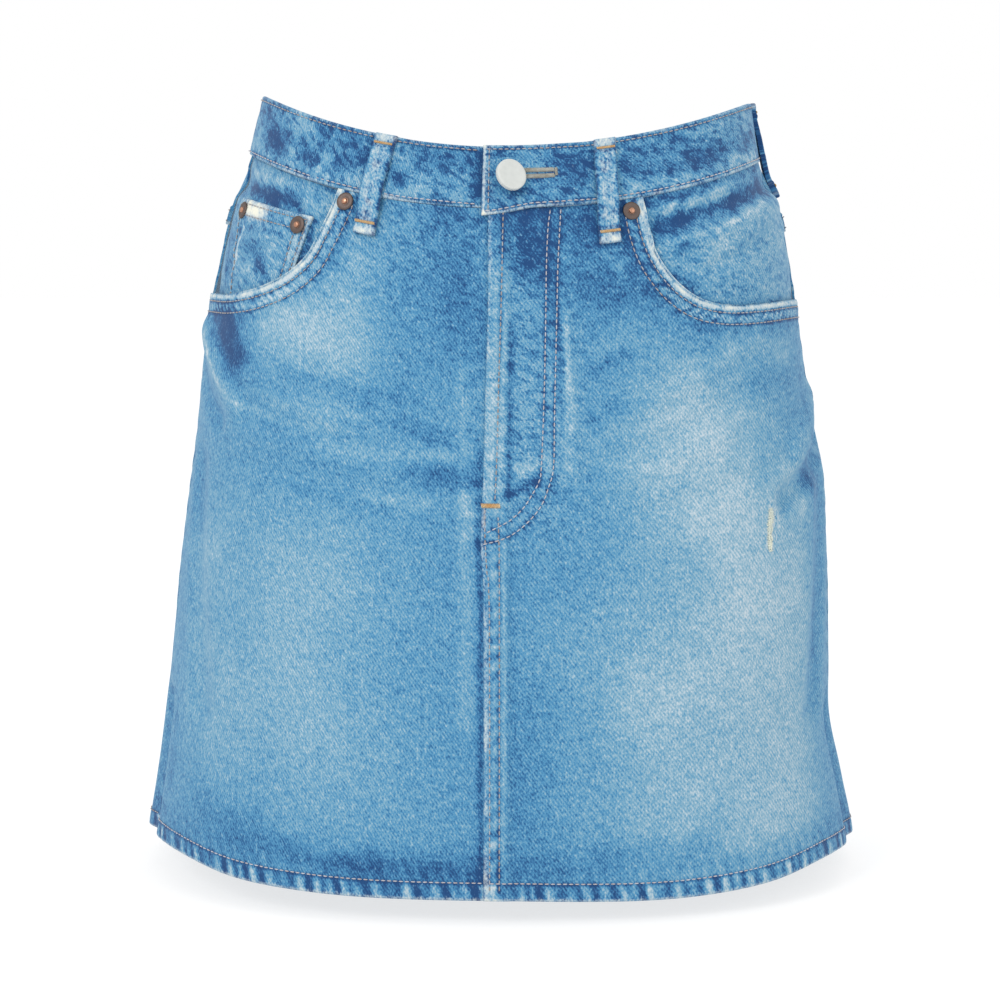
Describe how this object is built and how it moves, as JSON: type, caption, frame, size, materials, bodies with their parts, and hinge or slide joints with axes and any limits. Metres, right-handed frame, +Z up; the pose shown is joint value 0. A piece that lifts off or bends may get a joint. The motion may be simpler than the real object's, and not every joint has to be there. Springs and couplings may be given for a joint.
{
  "type": "denim skirt",
  "caption": "Short straight denim skirt in its worn, hollow shape, open at waist and hem, with a lapped fly, scooped front pockets, coin pocket, belt loops, yokes and plain patch back pockets.",
  "frame": {"origin": "centre of the waistband's ring, half way up the band at the sides, where the wearer's waist holds it", "axes": "+Z up, -Y to the front of the skirt, +X to the wearer's left"},
  "size_m": [0.396, 0.3192, 0.4158],
  "materials": {
    "denim": "washed indigo twill, faded on the thighs",
    "denim_band": "washed indigo twill, mottled, worn pale at the edges",
    "denim_facing": "washed indigo twill, less faded",
    "denim_loop": "pale washed twill",
    "button": "satin, pearl grey",
    "rivet": "aged copper",
    "thread": "matt cotton thread"
  },
  "bodies": {
    "root": {"waistband": "denim_band", "front_right": "denim", "front_left": "denim", "back_right": "denim", "back_left": "denim", "yoke_right": "denim", "yoke_left": "denim", "pocket_facing_right": "denim_facing", "pocket_facing_left": "denim_facing", "coin_pocket": "denim_facing", "back_pocket_right": "denim", "back_pocket_left": "denim", "belt_loop_front_right": "denim_loop", "belt_loop_front_left": "denim_loop", "belt_loop_side_right": "denim_loop", "belt_loop_side_left": "denim_loop", "belt_loop_back": "denim_loop", "fly_button": "button", "rivet_pocket_right": "rivet", "rivet_pocket_left": "rivet", "rivet_coin_inner": "rivet", "rivet_coin_outer": "rivet"}
  },
  "joints": []
}
